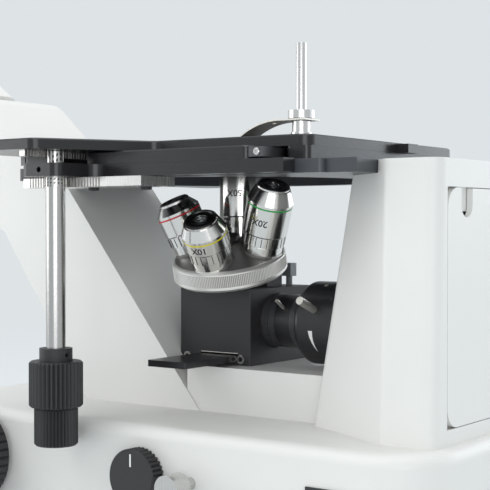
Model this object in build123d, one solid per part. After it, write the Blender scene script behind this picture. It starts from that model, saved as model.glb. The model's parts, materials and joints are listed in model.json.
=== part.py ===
from build123d import *
import os
from math import cos, pi, radians, sin, tan

# Inverted metallurgical microscope. Millimetres, +Z up, +X to the user's right, +Y to the rear.
# Every piece is worked out about the optical axis at X = Y = 0, on the table at Z = 0.
# The whole model is then moved along Y, so that the origin is the middle of its outline.

# Fits
running_gap = 0.05
slide_gap = 0.3
panel_gap = 0.4

# Base and feet
foot_height = 6.0
foot_radius = 13.0
foot_inset = 26.0
base_half_width = 98.0
base_front_y = -172.0
base_rear_y = 172.0
base_top_z = 62.0
base_corner_radius = 30.0
base_edge_radius = 6.5
deck_half_width = 39.2
deck_top_z = 87.0
base_wall = 6.0
base_roof = 8.0
bottom_cover_thickness = 2.0

# Front arm
arm_half_width = 40.0
arm_shoulder_y = -124.0
arm_top_z = 249.0
arm_neck_y = -143.0
arm_neck_z = 209.0
arm_top_round = 20.0
arm_top_front_y = -222.0
arm_top_rear_y = -188.0
head_tilt = 45.0
head_face_length = 57.0
arm_rear_foot_y = 0.0
arm_front_foot_y = -84.0
arm_rear_run = 0.80
arm_front_run = 0.72

# Rear column
column_front_bottom_y = 79.0
column_front_top_y = 101.0
column_rear_y = 164.0
column_front_half_width = 46.0
column_rear_half_width = 75.0
column_top_shrink = 4.0
column_wall = 9.0
column_rise_above_ledge = 6.4
column_corner_radius = 14.0
lamp_room_half_width = 48.0
lamp_room_bottom_z = 76.0
lamp_room_top_z = 172.0
door_half_width = 62.0
door_bottom_z = 70.0
door_top_z = 183.0
door_thickness = 3.0
door_corner_radius = 10.0
door_pin_radius = 1.2
notch_depth = 14.0
notch_width = 12.0
hinge_pin_reach = 3.0

# Stage
stage_top_z = 210.0
top_plate_thickness = 5.6
carriage_thickness = 6.6
fixed_plate_thickness = 6.8
plate_edge_radius = 0.7
plate_half_width = 78.0
plate_rear_y = 97.0
plate_front_y = -95.0
wing_rear_y = 1.0
wing_past_rod = 21.8
wing_tip_y = -33.0
carriage_overhang = 0.0
carriage_half_width = base_half_width + carriage_overhang
rod_reach = 15.7
rod_x = carriage_half_width + rod_reach
carriage_rear_y = 75.0
carriage_front_y = -78.0
side_bar_width = 9.5
side_bar_rear_y = 96.0
tab_reach = 28.0
tab_end_x = carriage_half_width + tab_reach
tab_rear_y = -25.0
tab_front_y = -52.0
tab_fillet = 7.0
rear_rail_width = 13.5
plate_corner_radius = 6.0
rail_corner_radius = 3.0
rail_z = 197.8
guide_inset = 0.9
guide_short = 1.0
tab_corner_radius = 5.0
tab_screw_radius = 1.5
tab_screw_depth = 6.0
stop_left_x = -21.0
stop_length = 11.0
stop_depth = 7.0
window_half_x = 52.0
window_half_y = 62.0
window_corner = 20.0
guide_clearance = 0.5
tongue_step = 4.0
tongue_rear_y = 128.0
front_tongue_half_width = 34.0
front_tongue_y = -120.0
objective_opening_radius = 80.0
insert_radius = 55.0
insert_thickness = 3.0
insert_hole_radius = 12.5
insert_rim = 3.0
x_travel_left = 14.0
x_travel_right = 34.0
y_travel = 15.0

# Stage drive
rod_radius = 5.15
inner_rod_radius = 2.5
rod_y = -38.0
x_pinion_radius = 4.25
y_pinion_radius = 5.7
pinion_tooth_depth = 0.9
rack_pitch = 2.0
rack_tooth_depth = 0.9
x_rack_height = 3.2
rack_plate_thickness = 5.0
rack_plate_overlap = 7.0
rack_plate_front_y = -68.0
rack_plate_rear_y = 16.0
rack_bar_depth = 4.0
mesh_gap = 0.2
knob_chamfer = 1.0
hub_screw_radius = 1.1
hub_screw_turns = (85, 175)
knob_radius = 14.2
knob_height = 24.0
knob_hub_radius = 8.7
knob_hub_height = 6.8
knob_top_z = 93.9
low_knob_radius = 11.5
low_knob_height = 20.0
knob_rib_count = 36
knob_rib_depth = 0.7

# Stage clip
clip_inset = 12.0
clip_post_radius = 2.6
clip_post_height = 46.0
clip_collar_radius = 6.6
clip_collar_height = 4.0
clip_neck_radius = 4.4
clip_neck_height = 7.0
clip_leaf_width = 14.0
clip_leaf_thickness = 0.8
clip_reach = 33.0
clip_flat = 6.0
clip_flange = 1.5
clip_hole_radius = 1.2
clip_turn = -92.0

# Beam splitter box and slider
box_half_width = 24.75
box_right_x = 26.0
box_seam_x = -4.0
box_left_x = -40.0
box_top_z = 129.6
slider_front_x = 73.0
slider_inner_x = -2.0
slider_push = 14.0
slider_rear_y = 16.4
slider_front_y = -9.5
slider_thickness = 3.5
slider_bottom_z = 89.2
slider_corner = 0.6
slider_headroom = 0.8
slider_window_radius = 7.0
chamber_half = 7.3
box_chamfer = 0.6
box_screw_y = 18.9
box_screw_z = 90.6
box_screw_radius = 1.2
box_screw_head_radius = 2.5
box_screw_head = 1.0
box_screw_length = 8.0

# Illuminator
tube_axis_z = 111.2
tube_bore_radius = 11.0
flange_radius = 15.6
flange_end_y = 29.0
small_tube_radius = 15.0
field_ring_start_y = 33.0
field_ring_width = 10.0
small_tube_end_y = 50.0
aperture_ring_radius = 23.0
aperture_ring_end_y = 68.7
lamp_tube_radius = 23.6
aperture_pin_radius = 2.2
aperture_pin_reach = 15.0
aperture_pin_angle = 22.0
field_pin_radius = 1.05
field_pin_reach = 8.0
field_pin_angle = 33.0
field_neck_radius = 12.9
aperture_neck_radius = 15.0
aperture_shoulder = 4.0
aperture_pin_inset = 5.0
lamp_tube_seat = 22.0
lens_thickness = 3.0
lamp_holder_half = 11.0
lamp_height = 14.0
lamp_radius = 5.5

# Nosepiece
turret_tilt = 18.0
turret_turn = 12.5
seat_distance = 67.3
seat_z = 159.0
ring_radius = 32.5
ring_height = 11.0
turret_pivot_radius = 4.5
turret_base_radius = 10.0
turret_base_width = 24.0
turret_base_reach = 40.0
turret_base_thickness = 3.0
knurl_count = 200
knurl_depth = 0.3
ring_round = 1.5
ring_rim_drop = 0.8
seat_boss = 0.6
turret_crown_radius = 8.0
turret_cap = 2.5
light_radius = 6.5
lens_hole_radius = 4.0
ring_groove_width = 0.9
ring_groove_depth = 0.25
ring_below_cone = 1.5
nose_rim_height = 1.2
nose_rim_step = 0.5
objective_foot = 4.4
foot_groove_width = 0.5
foot_groove_depth = 0.3
grip_top = 10.7
grip_step = 0.8
objective_grip_radius = 12.2
objective_thread_radius = 10.1
objective_thread_length = 4.0
objective_base_radius = 11.6
objective_body_radius = 12.75
focus_down = 1.5
# Length, nose radius, nose length and turn on the turret
objective_specs = {
    "objective_5": (29.2, 8.9, 5.6, -90),
    "objective_10": (27.4, 9.4, 7.0, 0),
    "objective_20": (38.3, 9.4, 8.5, 90),
    "objective_50": (43.5, 7.0, 3.5, 180),
}
objective_lengths = [spec[0] for spec in objective_specs.values()]
objective_turns = [spec[3] for spec in objective_specs.values()]

# Focus drive
focus_slide_right_x = -9.0
focus_slide_left_x = -24.0
focus_slide_half_width = 12.0
focus_slide_bottom_z = 96.0
stop_post_x = -31.0
stop_post_y = 12.5
stop_post_radius = 1.9
stop_post_height = 5.5
stop_block = 6.2
knob_axis_y = -112.0
knob_axis_z = 36.0
coarse_radius = 26.0
coarse_width = 20.0
fine_radius = 18.0
fine_width = 14.5
focus_shaft_radius = 5.0
focus_collar_radius = 22.0
focus_collar_width = 3.0
fine_shaft_radius = 3.0

# Viewing head
head_mount_radius = 26.0
head_mount_height = 7.0
head_half_width = 42.0
head_depth = 62.0
head_height = 38.0
tube_offset = 35.0
carrier_radius = 19.0
carrier_thickness = 9.0
eye_tube_radius = 15.0
eye_tube_length = 34.0
eyepiece_radius = 17.5
eyepiece_length = 22.0
eyepiece_barrel_radius = 11.6
eyecup_height = 7.0
eyepiece_barrel_length = 24.0
eye_lens_radius = 9.0
head_corner = 12.0
head_taper = 8.0
head_round = 3.0
head_pivot_radius = 8.0
diopter_width = 8.0

# Side fittings
camera_port_radius = 19.0
camera_bore_radius = 11.6
camera_port_length = 30.0
port_shoulder = 1.0
camera_port_y = 40.0
camera_port_z = 36.0
selector_y = 40.0
selector_rod_radius = 3.0
selector_reach = 20.0
selector_knob_radius = 7.0
selector_travel = 8.0
selector_stub = 1.0
dial_y = 8.0
dial_radius = 15.0
dial_width = 9.0
switch_y = 120.0
switch_height = 22.0
switch_width = 14.0
switch_rim = 1.5
switch_proud = 1.0
rocker_lift = 0.8
rocker_dip = 0.9
rocker_pin_radius = 0.7
rocker_pin_reach = 0.8
dial_shaft_radius = 3.0
inlet_wall = 2.0
inlet_half_width = 13.75
inlet_half_height = 9.75
inlet_depth = 22.0

# Heights and places that follow from the sizes above
top_plate_z = stage_top_z - top_plate_thickness
carriage_z = top_plate_z - slide_gap - carriage_thickness
fixed_plate_top_z = carriage_z - slide_gap
ledge_z = fixed_plate_top_z - fixed_plate_thickness
side_bar_z = ledge_z + slide_gap
column_top_z = ledge_z + column_rise_above_ledge
side_bar_inner_x = carriage_half_width - side_bar_width
fixed_plate_half_width = side_bar_inner_x - guide_clearance
tongue_half_width = fixed_plate_half_width - tongue_step
rack_plate_inner_x = fixed_plate_half_width - rack_plate_overlap
wing_tip_x = rod_x + wing_past_rod
clip_post_x = plate_half_width - clip_inset
clip_post_y = plate_rear_y - clip_inset
rack_plate_top_z = ledge_z
rack_plate_z = rack_plate_top_z - rack_plate_thickness
x_rack_z = top_plate_z - x_rack_height
apex_z = seat_z - seat_distance
outer_knob_x = base_half_width + focus_collar_width + coarse_width + fine_width
head_slope = radians(head_tilt)


def slab(x0, x1, y0, y1, z0, z1):
    """A box between two corners."""
    middle = ((x0 + x1) / 2, (y0 + y1) / 2, (z0 + z1) / 2)
    return Pos(*middle) * Box(x1 - x0, y1 - y0, z1 - z0)


def round_bar(radius, length, start, direction):
    """A cylinder that starts at a point and runs along a direction."""
    at = Plane(origin=start, z_dir=direction)
    return at * Cylinder(radius, length, align=(Align.CENTER, Align.CENTER, Align.MIN))


def pipe(radius, bore, length, start, direction):
    """A cylinder with a bore right through it."""
    extra = 1.0
    step = Vector(*direction).normalized() * extra
    inner_start = Vector(*start) - step
    inner = round_bar(bore, length + 2 * extra, tuple(inner_start), direction)
    return round_bar(radius, length, start, direction) - inner


def turned(points):
    """A solid of revolution about Z from an outline in radius and height."""
    outline = make_face(Plane.XZ * Polyline(*points, close=True))
    return revolve(outline, Axis.Z)


def ribbed(body, radius, count, depth, z0, z1):
    """Cuts straight grip grooves round an upright turned knob."""
    groove = Pos(radius, 0, (z0 + z1) / 2) * Rot(0, 0, 45) * Box(2 * depth, 2 * depth, z1 - z0)
    grooves = [Rot(0, 0, 360 * i / count) * groove for i in range(count)]
    return body - grooves


def rounded_plate(outline, z, thickness, corner_radius):
    """A flat plate with rounded corners, from an outline of points."""
    face = make_face(Polyline(*outline, close=True))
    face = fillet(face.vertices(), corner_radius)
    return Pos(0, 0, z) * extrude(face, thickness)


def eased(plate, radius):
    """Breaks the top and bottom edges of a flat plate."""
    top = plate.faces().sort_by(Axis.Z)[-1].outer_wire().edges()
    return chamfer(top, radius)


# Base, feet, arm and column


def make_base():
    lower = rounded_plate(
        [
            (-base_half_width, base_front_y),
            (base_half_width, base_front_y),
            (base_half_width, base_rear_y),
            (-base_half_width, base_rear_y),
        ],
        foot_height,
        base_top_z - foot_height,
        base_corner_radius,
    )
    rim = lower.faces().sort_by(Axis.Z)[-1].outer_wire().edges()
    lower = fillet(rim, base_edge_radius)
    deck = slab(
        -deck_half_width,
        deck_half_width,
        arm_foot_rear(base_top_z) - column_wall,
        column_front_bottom_y + column_wall,
        base_top_z - base_edge_radius,
        deck_top_z,
    )
    room = slab(
        -base_half_width + base_wall,
        base_half_width - base_wall,
        base_front_y + base_wall,
        base_rear_y - base_wall,
        foot_height - 1,
        base_top_z - base_roof,
    )
    upright = room.edges().filter_by(Axis.Z)
    room = fillet(upright, base_corner_radius - base_wall)
    body = lower - room + deck - arm_blank() - column_blank()
    boss_reach = base_half_width + focus_collar_width - slide_gap
    for side in (-1, 1):
        boss_start = (side * (base_half_width - base_wall), knob_axis_y, knob_axis_z)
        boss_length = boss_reach - base_half_width + base_wall
        body += round_bar(focus_collar_radius, boss_length, boss_start, (side, 0, 0))
    body -= round_bar(
        focus_shaft_radius + running_gap,
        2 * boss_reach + 2,
        (-boss_reach - 1, knob_axis_y, knob_axis_z),
        (1, 0, 0),
    )
    body -= round_bar(
        selector_rod_radius + running_gap,
        selector_depth(),
        (base_half_width - selector_depth() + 1, selector_y, camera_port_z),
        (1, 0, 0),
    )
    body -= round_bar(
        dial_shaft_radius + running_gap,
        2 * base_wall,
        (base_half_width + 1, dial_y, knob_axis_z),
        (-1, 0, 0),
    )
    body -= round_bar(
        camera_bore_radius - port_shoulder,
        2 * base_wall,
        (-base_half_width - 1, camera_port_y, camera_port_z),
        (1, 0, 0),
    )
    body -= round_bar(light_radius, deck_top_z, (0, 0, deck_top_z + 1), (0, 0, -1))
    return body - switch_block() - inlet_pocket()


def selector_depth():
    return 2 * selector_reach


def inlet_pocket():
    return slab(
        -inlet_half_width,
        inlet_half_width,
        base_rear_y - inlet_depth,
        base_rear_y + 1,
        knob_axis_z - inlet_half_height,
        knob_axis_z + inlet_half_height,
    )


def make_feet():
    foot = turned(
        [
            (0, 0),
            (foot_radius - 2, 0),
            (foot_radius, foot_height),
            (0, foot_height),
        ]
    )
    places = [
        (sx * (base_half_width - foot_inset), y)
        for sx in (-1, 1)
        for y in (base_front_y + foot_inset, base_rear_y - foot_inset)
    ]
    return [Pos(x, y, 0) * foot for x, y in places]


def arm_foot_rear(z):
    """Y of the arm's sloping rear edge at a height."""
    return arm_rear_foot_y - (z - base_top_z) * arm_rear_run


def arm_foot_front(z):
    """Y of the arm's sloping front edge at a height."""
    return arm_front_foot_y - (z - base_top_z) * arm_front_run


def head_face_middle():
    """Middle of the sloping face that carries the viewing head, as Y and Z."""
    half = head_face_length / 2
    return (
        arm_top_front_y - half * cos(head_slope),
        arm_top_z - half * sin(head_slope),
    )


def arm_blank():
    """The leaning arm, from its side outline, before the ledge is cut."""
    low_y = arm_top_front_y - head_face_length * cos(head_slope)
    low_z = arm_top_z - head_face_length * sin(head_slope)
    elbow_z = (low_z + base_top_z) / 2 + 6
    outline = Polyline(
        (arm_foot_rear(base_top_z), base_top_z),
        (arm_foot_rear(ledge_z), ledge_z),
        (arm_neck_y, arm_neck_z),
        (arm_top_rear_y, arm_top_z),
        (arm_top_front_y, arm_top_z),
        (low_y, low_z),
        (arm_foot_front(elbow_z) - 14, elbow_z + 20),
        (arm_foot_front(elbow_z), elbow_z),
        (arm_foot_front(base_top_z), base_top_z),
        close=True,
    )
    side = make_face(Plane.YZ * outline)
    return Pos(-arm_half_width, 0, 0) * extrude(side, 2 * arm_half_width, dir=(1, 0, 0))


def make_arm():
    arm = arm_blank()
    across = arm.edges().filter_by(Axis.X)
    top_rear = across.sort_by_distance((0, arm_top_rear_y, arm_top_z))[0]
    arm = fillet(top_rear, arm_top_round)
    ledge = slab(
        -arm_half_width - 1,
        arm_half_width + 1,
        arm_shoulder_y,
        0,
        ledge_z,
        arm_top_z + 1,
    )
    return arm - ledge


def column_section(z, shrink):
    """Plan of the column at a height: narrow in front, wide at the rear, with soft corners."""
    share = (z - base_top_z) / (column_top_z - base_top_z)
    front_y = column_front_bottom_y + share * (column_front_top_y - column_front_bottom_y)
    front = column_front_half_width - shrink
    rear = column_rear_half_width - shrink
    outline = make_face(
        Polyline(
            (-front, front_y),
            (front, front_y),
            (rear, column_rear_y - 2 * column_corner_radius),
            (rear, column_rear_y),
            (-rear, column_rear_y),
            (-rear, column_rear_y - 2 * column_corner_radius),
            close=True,
        )
    )
    return Pos(0, 0, z) * fillet(outline.vertices(), column_corner_radius / 2)


def column_blank():
    return loft([column_section(base_top_z, 0), column_section(column_top_z, column_top_shrink)])


def lamp_room():
    return slab(
        -lamp_room_half_width,
        lamp_room_half_width,
        column_front_top_y + column_wall,
        column_rear_y + 1,
        lamp_room_bottom_z,
        lamp_room_top_z,
    )


def make_column():
    column = column_blank()
    column -= slab(
        -tongue_half_width,
        tongue_half_width,
        column_front_bottom_y - 1,
        tongue_rear_y + panel_gap,
        ledge_z,
        column_top_z + 1,
    )
    column -= lamp_room()
    column -= slab(
        -door_half_width - panel_gap,
        door_half_width + panel_gap,
        column_rear_y - door_thickness - panel_gap,
        column_rear_y + 1,
        door_bottom_z - panel_gap,
        door_top_z + panel_gap,
    )
    bore_start = (0, column_front_bottom_y - 2, tube_axis_z)
    seat = lamp_tube_seat + 2
    column -= round_bar(lamp_tube_radius + running_gap, seat, bore_start, (0, 1, 0))
    column -= round_bar(tube_bore_radius, column_rear_y - column_front_bottom_y, bore_start, (0, 1, 0))
    for low, high in door_hinge_spans():
        column -= round_bar(
            door_pin_radius + running_gap,
            high - low,
            (door_pin_x(), door_pin_y(), low),
            (0, 0, 1),
        )
    return column


def door_pin_x():
    return -door_half_width + door_thickness / 2


def door_pin_y():
    return column_rear_y - door_thickness / 2


def door_hinge_spans():
    """Heights of the two short hinge pins, at the foot and head of the door."""
    return (
        (door_bottom_z - panel_gap - hinge_pin_reach, door_bottom_z),
        (door_top_z, door_top_z + panel_gap + hinge_pin_reach),
    )


def make_door():
    """Rear lamp door with a finger notch in its top corner and two hinge pins."""
    face = make_face(
        Polyline(
            (-door_half_width, door_bottom_z),
            (door_half_width, door_bottom_z),
            (door_half_width, door_top_z),
            (-door_half_width, door_top_z),
            close=True,
        )
    )
    free_corners = face.vertices().filter_by(lambda corner: corner.X > 0)
    face = fillet(free_corners, door_corner_radius)
    notch_x = door_half_width - 2 * door_corner_radius
    notch = Pos(notch_x, door_top_z) * SlotOverall(2 * notch_depth, notch_width, rotation=90)
    panel = Plane.XZ.offset(-column_rear_y) * (face - notch)
    door = extrude(panel, door_thickness)
    hinge_edges = door.edges().filter_by(Axis.Z).sort_by(Axis.X)[:2]
    door = fillet(hinge_edges, door_thickness * 0.45)
    for low, high in door_hinge_spans():
        pin_start = (door_pin_x(), door_pin_y(), low)
        door += round_bar(door_pin_radius, high - low, pin_start, (0, 0, 1))
    return door


def make_bottom_cover():
    inset = base_wall + panel_gap
    return rounded_plate(
        [
            (-base_half_width + inset, base_front_y + inset),
            (base_half_width - inset, base_front_y + inset),
            (base_half_width - inset, base_rear_y - inset),
            (-base_half_width + inset, base_rear_y - inset),
        ],
        foot_height,
        bottom_cover_thickness,
        base_corner_radius - inset,
    )


# Stage


def top_plate_outline():
    return [
        (-plate_half_width, plate_rear_y),
        (-plate_half_width, plate_front_y),
        (wing_tip_x, plate_front_y),
        (wing_tip_x, wing_tip_y),
        (plate_half_width, wing_rear_y),
        (plate_half_width, plate_rear_y),
    ]


def make_top_plate():
    plate = rounded_plate(top_plate_outline(), top_plate_z, top_plate_thickness, plate_corner_radius)
    plate = eased(plate, plate_edge_radius)
    recess_z = stage_top_z - insert_thickness
    plate -= round_bar(insert_radius + running_gap, insert_thickness + 1, (0, 0, recess_z), (0, 0, 1))
    plate -= round_bar(insert_radius - insert_rim, top_plate_thickness + 2, (0, 0, top_plate_z - 1), (0, 0, 1))
    stop = slab(
        stop_left_x,
        stop_left_x + stop_length,
        plate_rear_y - plate_edge_radius,
        plate_rear_y + stop_depth,
        top_plate_z,
        stage_top_z - plate_edge_radius,
    )
    post_hole = round_bar(clip_post_radius + running_gap, top_plate_thickness, clip_foot(), (0, 0, -1))
    return plate + stop - post_hole


def clip_foot():
    return (clip_post_x, clip_post_y, stage_top_z)


def make_rail(y0, y1):
    rail = rounded_plate(
        [
            (-plate_half_width, y0),
            (plate_half_width, y0),
            (plate_half_width, y1),
            (-plate_half_width, y1),
        ],
        rail_z,
        top_plate_z - rail_z,
        rail_corner_radius,
    )
    return rail


def make_insert():
    rings = turned(
        [
            (insert_hole_radius, stage_top_z - insert_thickness),
            (insert_radius, stage_top_z - insert_thickness),
            (insert_radius, stage_top_z),
            (insert_hole_radius + insert_rim, stage_top_z),
            (insert_hole_radius, stage_top_z - insert_rim / 2),
        ]
    )
    return rings


def rack_bar(length, depth, height, tooth_depth, pitch, first, last):
    """A straight rack along X from the origin, with its teeth cut into the +Y edge."""
    bar = slab(0, length, -depth, 0, 0, height)
    half = pitch / 2
    gap = make_face(
        Polyline(
            (-half * 0.36, -tooth_depth),
            (half * 0.36, -tooth_depth),
            (half * 0.72, tooth_depth / 4),
            (-half * 0.72, tooth_depth / 4),
            close=True,
        )
    )
    cutter = extrude(gap, height)
    count = int((last - first) / pitch)
    return bar - [Pos(first + half + i * pitch, 0, 0) * cutter for i in range(count)]


def make_x_rack():
    start_x = rod_x - x_travel_right - 2 * x_pinion_radius
    length = wing_tip_x - 2 * plate_corner_radius / 3 - start_x
    bar = rack_bar(length, rack_bar_depth, x_rack_height, rack_tooth_depth, rack_pitch, 1, length - 1)
    return Pos(start_x, x_rack_y(), x_rack_z) * bar


def x_rack_y():
    return rod_y - x_pinion_radius - mesh_gap


def make_carriage():
    plate = rounded_plate(
        [
            (-carriage_half_width, carriage_front_y),
            (carriage_half_width, carriage_front_y),
            (carriage_half_width, carriage_rear_y),
            (-carriage_half_width, carriage_rear_y),
        ],
        carriage_z,
        carriage_thickness,
        rail_corner_radius,
    )
    plate = eased(plate, plate_edge_radius)
    window = RectangleRounded(2 * window_half_x, 2 * window_half_y, window_corner)
    plate -= Pos(0, 0, carriage_z - 1) * extrude(window, carriage_thickness + 2)
    rack_room_x = rod_x - x_travel_right - 2 * x_pinion_radius - x_travel_left - 2
    plate -= slab(
        rack_room_x,
        carriage_half_width + 1,
        x_rack_y() - rack_bar_depth - 2,
        rod_y + x_pinion_radius + 4,
        carriage_z - 1,
        top_plate_z + 1,
    )
    return plate


def make_x_guides():
    """Steel guide strips on the carriage's front and rear edges, inside the plate's rails."""
    z0 = carriage_z + guide_inset
    z1 = carriage_z + carriage_thickness - guide_inset
    half = carriage_half_width - guide_short
    rear = slab(-half, half, carriage_rear_y, rear_rail_y() - slide_gap, z0, z1)
    front = slab(-half, half, front_rail_y() + slide_gap, carriage_front_y, z0, z1)
    return [rear, front]


def rear_rail_y():
    return plate_rear_y - rear_rail_width


def front_rail_y():
    return plate_front_y + rear_rail_width


def make_side_bar():
    """Bar under the carriage's right edge, with the tab that carries the drive shaft."""
    outline = Polyline(
        (side_bar_inner_x, carriage_front_y),
        (carriage_half_width, carriage_front_y),
        (carriage_half_width, tab_front_y),
        (tab_end_x, tab_front_y),
        (tab_end_x, tab_rear_y),
        (carriage_half_width, tab_rear_y),
        (carriage_half_width, side_bar_rear_y),
        (side_bar_inner_x, side_bar_rear_y),
        close=True,
    )
    face = make_face(outline)
    corners = face.vertices()
    tab_corners = corners.filter_by(lambda v: v.X > tab_end_x - 1)
    face = fillet(tab_corners, tab_corner_radius)
    inner_corner = face.vertices().sort_by_distance((carriage_half_width, tab_rear_y))[0]
    face = fillet(inner_corner, tab_fillet)
    bar = Pos(0, 0, side_bar_z) * extrude(face, carriage_z - side_bar_z)
    rod_hole = round_bar(
        rod_radius + running_gap,
        carriage_z - side_bar_z + 2,
        (rod_x, rod_y, side_bar_z - 1),
        (0, 0, 1),
    )
    screw_hole = round_bar(
        tab_screw_radius,
        tab_screw_depth,
        (tab_end_x, rod_y, (side_bar_z + carriage_z) / 2),
        (-1, 0, 0),
    )
    return bar - rod_hole - screw_hole


def make_fixed_plate():
    """Stage bed, with tongues that rest on the arm's ledge and the column's ledge."""
    front_y = carriage_front_y - y_travel
    rear_y = side_bar_rear_y + y_travel
    plate = rounded_plate(
        [
            (-fixed_plate_half_width, front_y),
            (fixed_plate_half_width, front_y),
            (fixed_plate_half_width, rear_y),
            (-fixed_plate_half_width, rear_y),
        ],
        ledge_z,
        fixed_plate_thickness,
        rail_corner_radius,
    )
    plate += slab(-tongue_half_width, tongue_half_width, 0, tongue_rear_y, ledge_z, fixed_plate_top_z)
    plate += slab(-front_tongue_half_width, front_tongue_half_width, front_tongue_y, 0, ledge_z, fixed_plate_top_z)
    hole = round_bar(
        objective_opening_radius,
        fixed_plate_thickness + 2,
        (0, 0, ledge_z - 1),
        (0, 0, 1),
    )
    return plate - hole


def make_y_rack():
    """Flat plate under the fixed plate with rack teeth along its outer edge."""
    toothed = 2 * y_travel + 4 * y_pinion_radius
    length = rack_plate_rear_y - rack_plate_front_y
    first = rack_plate_rear_y - rod_y - toothed / 2
    bar = rack_bar(
        length,
        rack_face_x() - rack_plate_inner_x,
        rack_plate_thickness,
        rack_tooth_depth,
        rack_pitch,
        first,
        first + toothed,
    )
    return Pos(rack_face_x(), rack_plate_rear_y, rack_plate_z) * Rot(0, 0, -90) * bar


def rack_face_x():
    return rod_x - y_pinion_radius - mesh_gap


def pinion(radius, count, z0, z1):
    """A small straight-cut pinion on the drive axis."""
    wheel = round_bar(radius, z1 - z0, (0, 0, z0), (0, 0, 1))
    tip = pi * radius / count
    gap = make_face(
        Polyline(
            (radius - pinion_tooth_depth, -tip * 0.3),
            (radius + 1, -tip * 0.75),
            (radius + 1, tip * 0.75),
            (radius - pinion_tooth_depth, tip * 0.3),
            close=True,
        )
    )
    cutter = Pos(0, 0, z0) * extrude(gap, z1 - z0)
    return wheel - [Rot(0, 0, 360 * i / count) * cutter for i in range(count)]


def on_rod(shape):
    return Pos(rod_x, rod_y, 0) * shape


def make_y_drive_tube():
    teeth = round(2 * pi * y_pinion_radius / rack_pitch)
    bottom_z = knob_top_z - knob_height
    tube = round_bar(rod_radius, carriage_z - bottom_z, (0, 0, bottom_z), (0, 0, 1))
    tube += pinion(y_pinion_radius, teeth, rack_plate_z, rack_plate_top_z)
    bore = round_bar(
        inner_rod_radius + running_gap,
        carriage_z - bottom_z + 2,
        (0, 0, bottom_z - 1),
        (0, 0, 1),
    )
    return on_rod(tube - bore)


def grip_knob(radius, z0, z1, bore):
    body = turned(
        [
            (bore, z0),
            (radius - knob_chamfer, z0),
            (radius, z0 + knob_chamfer),
            (radius, z1 - knob_chamfer),
            (radius - knob_chamfer, z1),
            (bore, z1),
        ]
    )
    return ribbed(body, radius, knob_rib_count, knob_rib_depth, z0 - 1, z1 + 1)


def make_y_knob():
    bore = rod_radius + running_gap
    knob = grip_knob(knob_radius, knob_top_z - knob_height, knob_top_z, bore)
    hub = turned(
        [
            (bore, knob_top_z),
            (knob_hub_radius, knob_top_z),
            (knob_hub_radius, knob_top_z + knob_hub_height),
            (bore, knob_top_z + knob_hub_height),
        ]
    )
    knob += hub
    for turn in hub_screw_turns:
        start = (0, 0, knob_top_z + knob_hub_height / 2)
        way = (cos(radians(turn)), sin(radians(turn)), 0)
        start = (way[0] * (rod_radius + 1), way[1] * (rod_radius + 1), start[2])
        knob -= round_bar(hub_screw_radius, knob_hub_radius, start, way)
    return on_rod(knob)


def make_x_drive_shaft():
    teeth = round(2 * pi * x_pinion_radius / rack_pitch)
    bottom_z = knob_top_z - knob_height - slide_gap - low_knob_height
    shaft = round_bar(inner_rod_radius, carriage_z - bottom_z, (0, 0, bottom_z), (0, 0, 1))
    shaft += pinion(x_pinion_radius, teeth, carriage_z + slide_gap, top_plate_z - slide_gap)
    shaft += round_bar(inner_rod_radius, 2 * slide_gap, (0, 0, carriage_z - slide_gap), (0, 0, 1))
    return on_rod(shaft)


def make_x_knob():
    z1 = knob_top_z - knob_height - slide_gap
    return on_rod(grip_knob(low_knob_radius, z1 - low_knob_height, z1, inner_rod_radius + running_gap))


def make_clip_post():
    neck_top = stage_top_z + clip_neck_height
    collar_top = neck_top + clip_leaf_thickness + 2 * slide_gap + clip_collar_height
    post = turned(
        [
            (0, stage_top_z - top_plate_thickness),
            (clip_post_radius, stage_top_z - top_plate_thickness),
            (clip_post_radius, stage_top_z),
            (clip_neck_radius + clip_flange / 2, stage_top_z),
            (clip_neck_radius + clip_flange / 2, stage_top_z + clip_flange),
            (clip_neck_radius, stage_top_z + clip_flange),
            (clip_neck_radius, neck_top),
            (clip_post_radius, neck_top),
            (clip_post_radius, collar_top - clip_collar_height),
            (clip_collar_radius, collar_top - clip_collar_height),
            (clip_collar_radius, collar_top),
            (clip_post_radius, collar_top),
            (clip_post_radius, stage_top_z + clip_post_height),
            (0, stage_top_z + clip_post_height),
        ]
    )
    return Pos(clip_post_x, clip_post_y, 0) * post


def make_clip_leaf():
    """Broad leaf spring that arches from the post down to the specimen surface."""
    high = clip_neck_height + slide_gap
    low = slide_gap
    t = clip_leaf_thickness
    start = -clip_collar_radius
    upper = ThreePointArc((clip_flat, high + t), (clip_flat + clip_reach * 0.45, high * 0.80 + t), (clip_reach, low + t))
    lower = ThreePointArc((clip_reach, low), (clip_flat + clip_reach * 0.45, high * 0.80), (clip_flat, high))
    outline = [
        Line((start, high), (start, high + t)),
        Line((start, high + t), (clip_flat, high + t)),
        upper,
        Line((clip_reach, low + t), (clip_reach, low)),
        lower,
        Line((clip_flat, high), (start, high)),
    ]
    side = make_face(Plane.XZ * Wire([edge for part in outline for edge in part.edges()]))
    leaf = extrude(side, clip_leaf_width / 2, both=True)
    leaf -= round_bar(clip_post_radius + running_gap, 2 * clip_neck_height, (0, 0, 0), (0, 0, 1))
    leaf -= round_bar(clip_hole_radius, 2 * clip_neck_height, (clip_reach / 2, 0, 0), (0, 0, 1))
    return Pos(clip_post_x, clip_post_y, stage_top_z) * Rot(0, 0, clip_turn) * leaf


# Beam splitter box, slider and illuminator


def light_bores():
    """The beam's room: along the tube, up to the nosepiece and down into the base."""
    centre = (0, 0, tube_axis_z)
    bores = Pos(*centre) * Box(2 * chamber_half, 2 * chamber_half, 2 * chamber_half)
    bores += round_bar(light_radius, box_half_width + 1, centre, (0, 1, 0))
    bores += round_bar(light_radius, box_top_z, centre, (0, 0, 1))
    bores += round_bar(light_radius, tube_axis_z, centre, (0, 0, -1))
    return bores


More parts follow.
